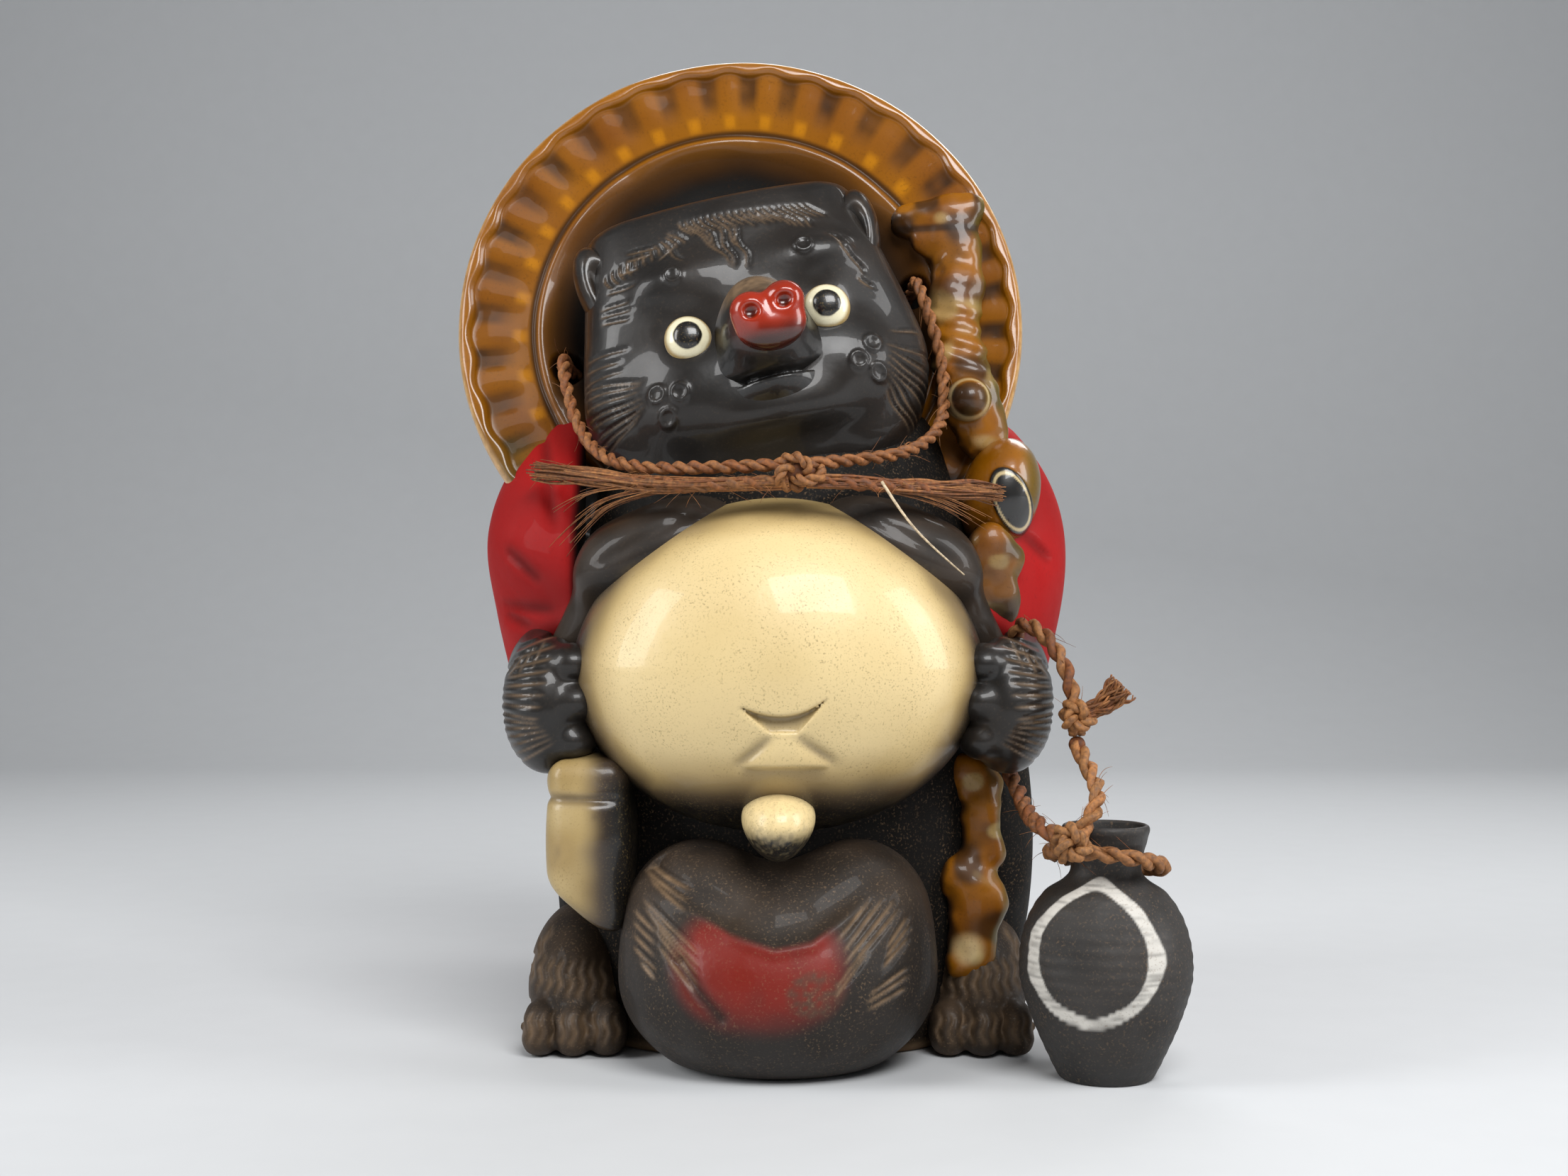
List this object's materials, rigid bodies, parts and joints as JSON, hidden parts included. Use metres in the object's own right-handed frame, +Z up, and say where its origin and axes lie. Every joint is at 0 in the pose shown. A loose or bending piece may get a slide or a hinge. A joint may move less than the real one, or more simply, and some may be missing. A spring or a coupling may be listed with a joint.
{
  "type": "tanuki statue",
  "caption": "Glazed pottery raccoon-dog figure with a round hat, red coat and big belly, tied chin cord, and a loose sake flask hung on a rope from its paw.",
  "frame": {"origin": "on the floor under the figure, in the trunk's flat base", "axes": "+Z up, -Y the way the figure faces, +X to the viewer's right"},
  "size_m": [0.2094, 0.1704, 0.2955],
  "materials": {
    "brown_glaze": "dark brown glaze, satin, worn tan on raised fur",
    "black_glaze": "glossy black-brown glaze",
    "cream_glaze": "cream glaze with fine brown specks",
    "red_glaze": "red glaze, satin",
    "ochre_glaze": "ochre glaze, pooling brown in the hollows",
    "nose_glaze": "red-brown glaze, glossy",
    "eye_glaze": "cream glaze with a black pupil",
    "dark_stoneware": "matte charcoal stoneware with a white brush mark",
    "palm_rope": "twisted palm fibre, hairy"
  },
  "bodies": {
    "figure": {"bag_knob": "brown_glaze", "belly": "cream_glaze", "cape": "red_glaze", "chin_cord_inner": "palm_rope", "chin_cord_left": "palm_rope", "chin_cord_right": "palm_rope", "chin_knot": "palm_rope", "chin_tail_left": "palm_rope", "chin_tail_right": "palm_rope", "hat": "ochre_glaze", "head": "black_glaze", "left_arm": "black_glaze", "left_collar": "black_glaze", "left_ear": "black_glaze", "left_eye": "eye_glaze", "left_foot": "brown_glaze", "medallion": "ochre_glaze", "money_bag": "brown_glaze", "nose": "nose_glaze", "passbook": "cream_glaze", "right_arm": "black_glaze", "right_collar": "black_glaze", "right_ear": "black_glaze", "right_eye": "eye_glaze", "right_foot": "brown_glaze", "rope_frayed_end": "palm_rope", "rope_paw_loop": "palm_rope", "rope_slip_knot": "palm_rope", "sash_lower": "ochre_glaze", "sash_middle": "ochre_glaze", "sash_upper": "ochre_glaze", "snout": "black_glaze", "tail": "brown_glaze", "trunk": "brown_glaze"},
    "flask_rope": {"noose": "palm_rope", "noose_knot": "palm_rope", "rope_drop_back": "palm_rope", "rope_drop_front": "palm_rope"},
    "flask": {"flask": "dark_stoneware"}
  },
  "joints": [
    {"name": "flask_swing", "type": "hinge", "parent": "figure", "child": "flask_rope", "pos_m": [0.0665, -0.027, 0.079], "axis": [0.5426, -0.7631, 0.351], "range_deg": [-20, 60]},
    {"name": "flask_turn", "type": "hinge", "parent": "flask_rope", "child": "flask", "pos_m": [0.089, -0.059, 0.059], "axis": [0, 0, 1], "continuous": true}
  ]
}
